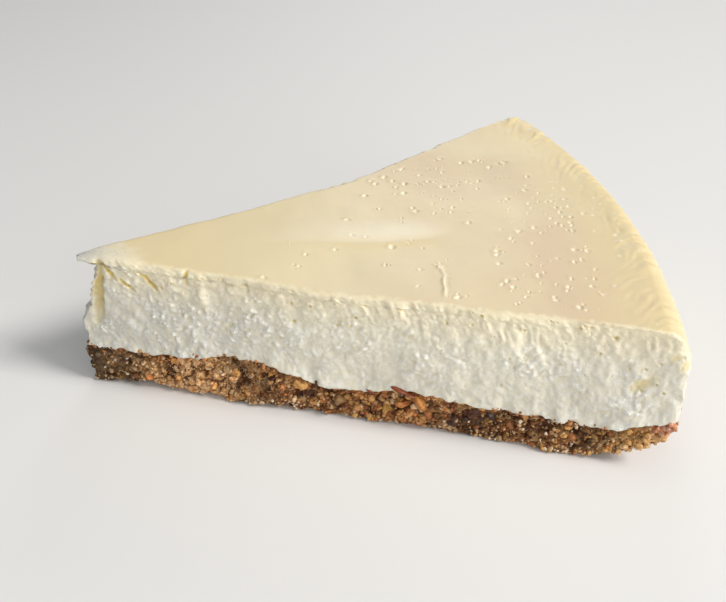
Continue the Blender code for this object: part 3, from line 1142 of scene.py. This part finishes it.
def make_base_core():
    """The core as a piece. Returns its places and faces, and which of SIDES each face is on, or -1."""
    counts = edge_counts(400, 8, 260, 34)
    insides = inner_points(crumb_layer, (0.28, 0.32), 2.2, 0.40, hidden_end=1)
    vuw, faces = closed_skin(counts, insides, crumb_layer.flatten)
    places, numbers = shape_base(vuw)
    piece = mesh_piece("biscuit_crumb_core", places, faces, numbers, crumb_material("pressed_crumb", 0.72))
    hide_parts("biscuit_base")
    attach(piece, "root")
    corners = vuw[faces]
    side_of = np.full(len(faces), -1)
    for side, (axis, end) in enumerate(SIDES):
        side_of[(corners[:, :, axis] == end).all(axis=1)] = side
    return places, faces, side_of


class Sites:
    """Places on the base's outer sides where crumbs can sit, with the direction out of the base there."""

    def __init__(self, places, faces, side_of):
        self.corners = places[faces]
        a, b, c = (self.corners[:, k] for k in range(3))
        cross = np.cross(b - a, c - a)
        length = np.linalg.norm(cross, axis=1)
        self.middle = self.corners.mean(axis=1)
        normal = cross / np.maximum(length, 1e-15)[:, None]
        outside = np.sign(np.einsum("ij,ij->i", normal, self.middle - places.mean(axis=0)))
        self.normal = normal * outside[:, None]
        self.weight = length / 2 * np.array(SIDE_WEIGHTS + (0.0,))[side_of]

    def pick(self, count, favour):
        """count places and directions. favour gives a weight for each place."""
        weight = self.weight * favour(self.middle - APEX)
        chosen = rng.choice(len(weight), count, p=weight / weight.sum())
        a, b = np.sort(rng.random((2, count)), axis=0)
        parts = np.stack([a, b - a, 1 - b], -1)
        return np.einsum("ij,ijk->ik", parts, self.corners[chosen]), self.normal[chosen]


def ball(subdivisions):
    """The points and faces of a small ball of radius 1."""
    bm = bmesh.new()
    bmesh.ops.create_icosphere(bm, subdivisions=subdivisions, radius=1.0)
    points = np.array([v.co[:] for v in bm.verts])
    faces = np.array([[v.index for v in f.verts] for f in bm.faces])
    bm.free()
    return points, faces


def turns(count):
    """Random rotation matrices."""
    q = rng.normal(size=(count, 4))
    w, x, y, z = (q / np.linalg.norm(q, axis=1)[:, None]).T
    return np.stack([1 - 2 * (y*y + z*z), 2 * (x*y - w*z), 2 * (x*z + w*y),
                     2 * (x*y + w*z), 1 - 2 * (x*x + z*z), 2 * (y*z - w*x),
                     2 * (x*z - w*y), 2 * (y*z + w*x), 1 - 2 * (x*x + y*y)], -1).reshape(-1, 3, 3)


def scatter(name, material, crumbs, shape, sunk=(-0.1, 0.45), lumpy=0.30, flat_faces=True, turned=None):
    """Many crumbs as one mesh. crumbs are their places, their directions out of the base, their radii in
    metres and their colours. shape is a crumb's subdivisions and two ranges of flattening."""
    at, out, sizes, colours = crumbs
    subdivisions, thin, long = shape
    points, faces = ball(subdivisions)
    count = len(at)
    own_noise = (points[None] + rng.uniform(0, 500, (count, 1, 3))).reshape(-1, 3)
    dents = (1 + lumpy * lumps(own_noise, 0.8, 85)).reshape(count, -1)
    scale = np.column_stack([np.ones(count), rng.uniform(*thin, count), rng.uniform(*long, count)])
    local = points[None] * dents[:, :, None] * scale[:, None, :] * sizes[:, None, None]
    local = np.einsum("nij,npj->npi", turns(count) if turned is None else turned, local)
    centre = at + out * (sizes * rng.uniform(*sunk, count))[:, None]
    verts = centre[:, None, :] + local
    below = np.minimum(verts[:, :, 2].min(axis=1), 0.0)
    verts[:, :, 2] -= below[:, None]
    all_faces = (faces[None] + (np.arange(count) * len(points))[:, None, None]).reshape(-1, 3)
    tints = np.repeat(np.column_stack([np.clip(colours, 0, 1), np.ones(count)]), len(points), axis=0)
    piece = mesh_piece(name, verts.reshape(-1, 3), all_faces, {"crumb": tints}, material)
    if flat_faces:
        piece.data.shade_flat()
    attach(piece, "root")


def varied(colours, spread):
    """The colours, each a little lighter or darker and warmer or cooler."""
    light = np.exp(rng.normal(0, spread, (len(colours), 1)))
    warm = 1 + rng.uniform(-spread, spread, (len(colours), 1)) * [0.12, 0.0, -0.35]
    return held(colours * light * warm)


def drawn(colours, shares, count):
    """count colours drawn from a few, each with its share."""
    return np.array(colours)[rng.choice(len(colours), count, p=shares)]


# ---- The crumbs ----

# Larger pieces that show in the front cut: mm from the meeting point, mm up, radius in mm, and colour
FRONT_PIECES = [(72.4, 6.6, 2.3, (0.600, 0.270, 0.080)), (69.2, 5.6, 1.5, (0.520, 0.200, 0.060)),
                (56.4, 4.4, 2.0, (0.300, 0.180, 0.080)), (48.0, 6.6, 1.6, GOLD), (99.5, 5.2, 1.5, GOLD)]
FRONT_CARAMEL = [(82.4, 6.0, 2.0), (86.2, 6.2, 1.5), (42.4, 7.4, 1.2), (75.6, 4.2, 1.0), (90.0, 4.6, 1.0),
                 (51.6, 8.2, 0.9), (5.5, 5.6, 1.0), (9.5, 6.8, 0.8)]
FLAKES = [(68.6, 9.2, 1.8), (70.4, 8.4, 1.7), (93.8, 8.4, 1.2), (62.8, 7.8, 1.0)]

FOOT_GRANULES = 90        # pale granules at the rim's foot
BELOW_JOINT = 0.35 * MM   # how far under the joint crumbs stop


def on_front(marks):
    """Places on the front cut, and the direction out of it, for rows that start with mm out and mm up."""
    places = np.array([front_place(mark[0], mark[1]) for mark in marks]) * MM + APEX
    return places, np.repeat(FRONT_OUT[None], len(marks), axis=0)


def with_named(at, out, sizes, marks):
    """Places, directions and radii, with those of the marks on the front cut added."""
    named_at, named_out = on_front(marks)
    radii = np.array([mark[2] for mark in marks]) * MM
    return np.concatenate([at, named_at]), np.concatenate([out, named_out]), np.concatenate([sizes, radii])


def in_base(p):
    """1 for places p in the base and clear of the joint, and 0 elsewhere."""
    return (p[:, 2] < joint_height(*shares_at(p)) - BELOW_JOINT).astype(float)


def by_joint(p):
    """More for places p nearer the joint, and none at the rim."""
    v, u = shares_at(p)
    return in_base(p) * (v < 0.9) * np.exp(-((joint_height(v, u) - p[:, 2]) / (1.0 * MM)) ** 2)


def half_way(p):
    """More for places p half way along and half way up the base, where the larger pieces are."""
    out = np.hypot(p[:, 0], p[:, 1])
    anywhere = 0.06 * smooth((out - 30 * MM) / (20 * MM))
    half_up = close_to(np.abs(p[:, 2] - 4.5 * MM), 4.5 * MM)
    return in_base(p) * (anywhere + bump(out, 72 * MM, 34 * MM)) * half_up


def low_down(p):
    """More for places p low on the base and near the tip, where sugary grains are."""
    by_tip = 1 + 1.2 * (1 - smooth((np.hypot(p[:, 0], p[:, 1]) - 18 * MM) / (20 * MM)))
    return in_base(p) * by_tip * (0.20 + np.exp(-(p[:, 2] / (1.6 * MM)) ** 2))


def crumb_grains(sites, material):
    at, out = sites.pick(7600, in_base)
    sizes = rng.uniform(0.11, 0.28, len(at)) * MM
    colours = varied(crumb_colour((at - APEX) / MM, rng.random(len(at))), 0.50)
    scatter("crumb_grains", material, (at, out, sizes, colours), (1, (0.6, 1.0), (0.6, 1.0)))


def crumb_lumps(sites, material):
    at, out = sites.pick(2100, in_base)
    sizes = (0.30 + 0.55 * rng.random(len(at)) ** 1.5) * MM
    colours = varied(crumb_colour((at - APEX) / MM, rng.random(len(at)) * 0.92), 0.32)
    shape = (2, (0.5, 1.0), (0.5, 1.0))
    scatter("crumb_lumps", material, (at, out, sizes, colours), shape, (-0.45, 0.15), 0.35)


def joint_crumbs(sites, material):
    """Crumbs that the knife has dragged up over the joint."""
    at, out = sites.pick(900, by_joint)
    at = at + (0.25 * out + UP * (0.4 * rng.random((len(at), 1)) ** 3)) * MM
    sizes = rng.uniform(0.14, 0.50, len(at)) * MM
    colours = varied(drawn((TAN, RUST, BROWN), (0.4, 0.3, 0.3), len(at)), 0.35)
    shape = (2, (0.5, 1.0), (0.5, 1.0))
    scatter("joint_crumbs", material, (at, out, sizes, colours), shape, (-0.3, 0.2), 0.35)


def biscuit_pieces(sites, material):
    at, out = sites.pick(60, half_way)
    sizes = rng.uniform(0.8, 1.5, len(at)) * MM
    colours = varied(drawn((RUST, AMBER, TAN), (0.45, 0.25, 0.3), len(at)), 0.25)
    colours = np.concatenate([colours, [mark[3] for mark in FRONT_PIECES]])
    crumbs = (*with_named(at, out, sizes, FRONT_PIECES), colours)
    shape = (3, (0.45, 0.8), (0.4, 0.8))
    scatter("biscuit_pieces", material, crumbs, shape, (-0.55, -0.30), 0.42, flat_faces=False)


def caramel_pieces(sites, material):
    at, out = sites.pick(90, half_way)
    sizes = rng.uniform(0.5, 1.2, len(at)) * MM
    at, out, sizes = with_named(at, out, sizes, FRONT_CARAMEL)
    colours = varied(drawn((CARAMEL, BROWN), (0.75, 0.25), len(at)), 0.3)
    shape = (3, (0.4, 0.8), (0.4, 0.7))
    crumbs = (at, out, sizes, colours)
    scatter("caramel_pieces", material, crumbs, shape, (-0.45, -0.20), 0.45, flat_faces=False)


def pale_granules(sites, material):
    """Sugary grains along the base's lower edge, and browner ones at the rim's foot."""
    at, out = sites.pick(1900, low_down)
    up = rng.uniform(2.0, 11.0, FOOT_GRANULES)
    edge = (SLANT - rim_inset(up * MM, TIP_HEIGHT)) / MM
    foot_at, foot_out = on_front(np.column_stack([edge - rng.uniform(0.3, 3.5, FOOT_GRANULES), up]))
    sizes = np.concatenate([rng.uniform(0.15, 0.45, len(at)), rng.uniform(0.30, 0.80, FOOT_GRANULES)]) * MM
    at, out = np.concatenate([at, foot_at]), np.concatenate([out, foot_out])
    kind = rng.choice(3, len(at), p=(0.35, 0.4, 0.25))
    near_tip = np.hypot(*(at - APEX)[:, :2].T) < 45 * MM
    kind[(kind == 2) & near_tip] = 1
    colours = np.array([SUGAR, SAND, GOLD])[kind]
    foot_colours = mix(np.array(AMBER), np.array(BLUSH), smooth((up - 6.5) / 3)[:, None])
    colours[-FOOT_GRANULES:] = mix(colours[-FOOT_GRANULES:], foot_colours, 0.75)
    crumbs = (at, out, sizes, varied(colours, 0.18))
    scatter("pale_granules", material, crumbs, (2, (0.6, 1.0), (0.6, 1.0)), (0.0, 0.7), 0.2)


def bran_flakes(material):
    """Thin dark flakes that lie along the front cut."""
    at, out = on_front(FLAKES)
    sizes = np.array([mark[2] for mark in FLAKES]) * MM
    tilt = rng.uniform(-0.42, -0.28, len(at))[:, None]
    along = np.cos(tilt) * front_place(1.0, 0.0) + np.sin(tilt) * UP
    turned = np.stack([along, out, np.cross(along, out)], -1)
    crumbs = (at, out, sizes, varied(np.repeat([BRAN], len(at), axis=0), 0.2))
    shape = (3, (0.35, 0.45), (0.14, 0.2))
    scatter("bran_flakes", material, crumbs, shape, (-0.05, 0.05), 0.2, flat_faces=False, turned=turned)


def make_crumbs(sites):
    """The separate crumbs on the sides of the base, one piece for each kind."""
    grain = crumb_material("crumb_grain", 0.58)
    toffee = crumb_material("dark_caramel", 0.30, gloss=0.35)
    crumb_grains(sites, grain)
    crumb_lumps(sites, grain)
    joint_crumbs(sites, grain)
    biscuit_pieces(sites, crumb_material("biscuit_piece", 0.58))
    caramel_pieces(sites, toffee)
    pale_granules(sites, crumb_material("pale_granule", 0.32, gloss=0.4))
    bran_flakes(toffee)


# ---- Floor, light and camera ----

def make_floor():
    bpy.ops.mesh.primitive_plane_add(size=6.0, location=(0, 0, -0.0002))
    floor = bpy.context.object
    floor.name = "studio_floor"
    material = bpy.data.materials.new("studio_floor")
    shader, _, _ = node_tree(material)
    shader.inputs["Base Color"].default_value = (0.80, 0.79, 0.77, 1)
    shader.inputs["Roughness"].default_value = 0.7
    floor.data.materials.append(material)


def area_light(name, azimuth, elevation, distance, size, watts, colour=(1, 1, 1)):
    """A square light that faces the slice. Azimuth 0 is the front, and 90 the rim's side."""
    light = bpy.data.lights.new(name, "AREA")
    light.size = size
    light.energy = watts
    light.color = colour
    lamp = bpy.data.objects.new(name, light)
    a, e = math.radians(azimuth), math.radians(elevation)
    away = Vector((math.sin(a) * math.cos(e), -math.cos(a) * math.cos(e), math.sin(e)))
    lamp.location = away * distance
    lamp.rotation_euler = away.to_track_quat("Z", "Y").to_euler()
    bpy.context.scene.collection.objects.link(lamp)


def make_lights():
    area_light("key", 60, 44, 1.6, 0.50, 22.0, (1.0, 0.98, 0.955))
    area_light("front", 20, 19, 0.6, 0.40, 1.40, (1.0, 0.99, 0.985))
    area_light("front_left", -60, 25, 1.3, 1.0, 0.9)
    area_light("back", 165, 24, 1.4, 0.5, 2.4)
    world = bpy.data.worlds.new("studio")
    world.use_nodes = True
    world.node_tree.nodes["Background"].inputs["Color"].default_value = (0.94, 0.97, 1.0, 1)
    world.node_tree.nodes["Background"].inputs["Strength"].default_value = 0.26
    bpy.context.scene.world = world


CAMERA_FROM = -9.11        # degrees round from the front
CAMERA_UP = 32.01
CAMERA_AWAY = 0.2032
CAMERA_LENS = 40.55
CAMERA_AT = Vector((0.0037, 0.0211, 0.0))


def make_camera():
    camera = bpy.data.objects.new("camera", bpy.data.cameras.new("camera"))
    camera.data.sensor_width = 36
    camera.data.lens = CAMERA_LENS
    camera.data.clip_start = 0.01
    a, e = math.radians(CAMERA_FROM), math.radians(CAMERA_UP)
    back = Vector((math.sin(a) * math.cos(e), -math.cos(a) * math.cos(e), math.sin(e)))
    camera.location = CAMERA_AT + back * CAMERA_AWAY
    camera.rotation_euler = back.to_track_quat("Z", "Y").to_euler()
    bpy.context.scene.collection.objects.link(camera)
    bpy.context.scene.camera = camera


make_filling()
make_crumbs(Sites(*make_base_core()))
make_floor()
make_lights()
make_camera()
bpy.context.scene.view_settings.view_transform = "Standard"
